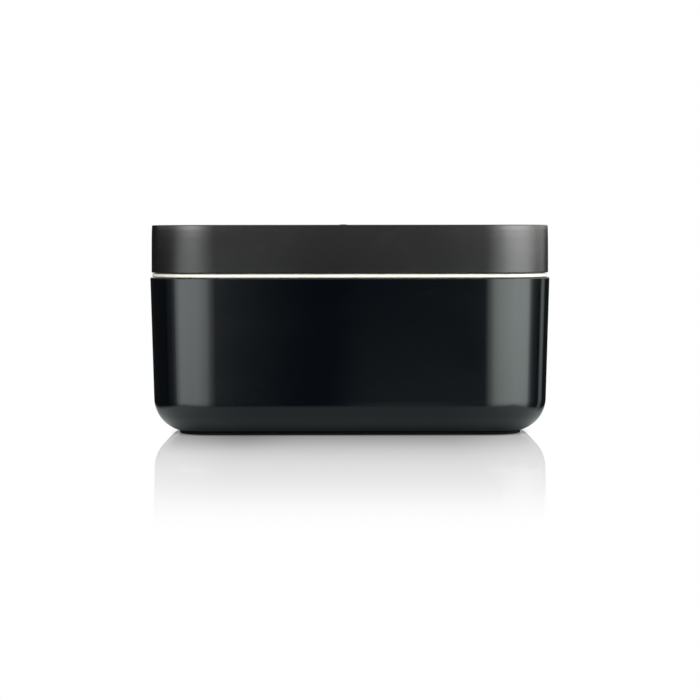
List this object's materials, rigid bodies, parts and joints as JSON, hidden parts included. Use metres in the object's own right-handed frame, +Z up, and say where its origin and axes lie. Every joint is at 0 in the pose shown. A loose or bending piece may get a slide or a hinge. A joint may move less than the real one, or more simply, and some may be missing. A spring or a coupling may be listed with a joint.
{
  "type": "lunch box",
  "caption": "Rectangular lunch box with round corners: drafted gloss bowl on a low foot ring, lift-out tray whose pale rim shows as a thin band, and a tall soft-touch lid with seal and vent.",
  "frame": {"origin": "on the ground, under the centre of the box", "axes": "+Z up, +X along the length, -Y towards the front"},
  "size_m": [0.222, 0.121, 0.1159],
  "materials": {
    "bowl_enamel": "gloss",
    "foot_rubber": "matte",
    "tray_plastic": "satin",
    "seal_silicone": "satin",
    "divider_plastic": "satin",
    "lid_soft_touch": "matte",
    "liner_plastic": "satin",
    "vent_silicone": "matte"
  },
  "bodies": {
    "bowl": {"bowl_shell": "bowl_enamel", "foot_ring": "foot_rubber"},
    "tray": {"tray": "tray_plastic", "tray_seal": "seal_silicone"},
    "divider": {"tray_divider": "divider_plastic"},
    "lid": {"lid_cover": "lid_soft_touch", "lid_liner": "liner_plastic", "lid_seal": "seal_silicone"},
    "vent": {"vent_plug": "vent_silicone"}
  },
  "joints": [
    {"name": "tray_lift", "type": "slide", "parent": "bowl", "child": "tray", "axis": [0, 0, 1], "range_m": [0, 0.06]},
    {"name": "lid_lift", "type": "slide", "parent": "tray", "child": "lid", "axis": [0, 0, 1], "range_m": [0, 0.08]},
    {"name": "divider_lift", "type": "slide", "parent": "tray", "child": "divider", "axis": [0, 0, 1], "range_m": [0, 0.022]},
    {"name": "vent_lift", "type": "slide", "parent": "lid", "child": "vent", "axis": [0, 0, 1], "range_m": [0, 0.0015]}
  ]
}
